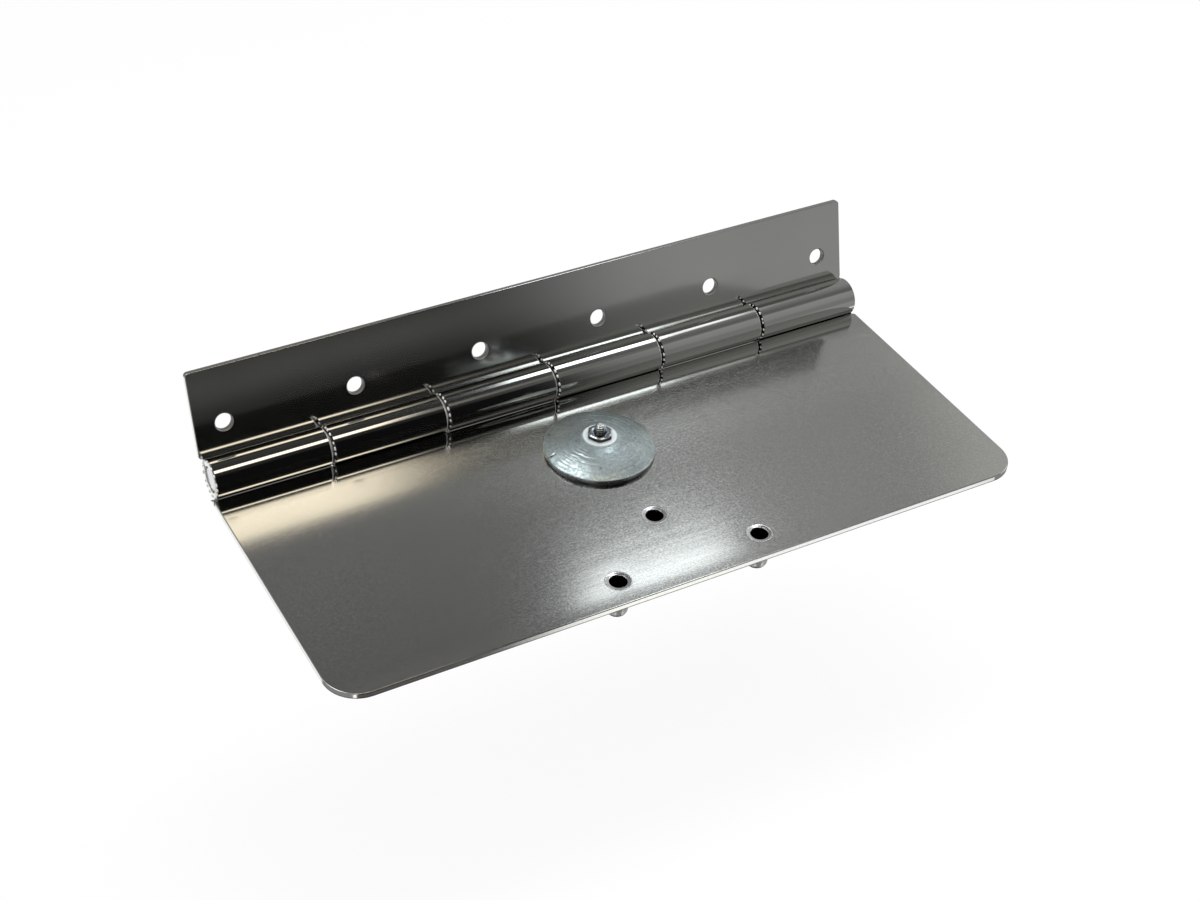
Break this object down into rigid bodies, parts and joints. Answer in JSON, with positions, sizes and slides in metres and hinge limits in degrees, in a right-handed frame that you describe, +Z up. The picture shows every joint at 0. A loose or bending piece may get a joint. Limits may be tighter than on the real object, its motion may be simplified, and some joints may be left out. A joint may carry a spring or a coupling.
{
  "type": "boat trim tab",
  "caption": "Stainless trim tab for a boat's transom: a flat trim plane on a rolled full-width hinge, with a zinc anode disc and threaded inserts for an actuator.",
  "frame": {"origin": "back face of the transom leaf, at the middle of its row of screw holes", "axes": "+X along the hinge to starboard, +Y forward out of the transom leaf's back face into the boat, +Z up along the leaf"},
  "size_m": [0.3048, 0.1318, 0.0935],
  "materials": {
    "leaf_steel": "electropolished",
    "pin_steel": "drawn",
    "anode_zinc": "as cast",
    "fastener_steel": "bright",
    "insert_steel": "bright"
  },
  "bodies": {
    "transom_side": {"transom_leaf": "leaf_steel", "hinge_pin": "pin_steel"},
    "tab_side": {"trim_plane": "leaf_steel", "anode": "anode_zinc", "anode_washer": "fastener_steel", "anode_nut": "fastener_steel", "anode_screw": "fastener_steel", "insert_forward": "insert_steel", "insert_port": "insert_steel", "insert_starboard": "insert_steel"}
  },
  "joints": [
    {"name": "tab_hinge", "type": "hinge", "parent": "transom_side", "child": "tab_side", "pos_m": [0, -0.00826, -0.0198], "axis": [1, 0, 0], "range_deg": [-74, 76]}
  ]
}
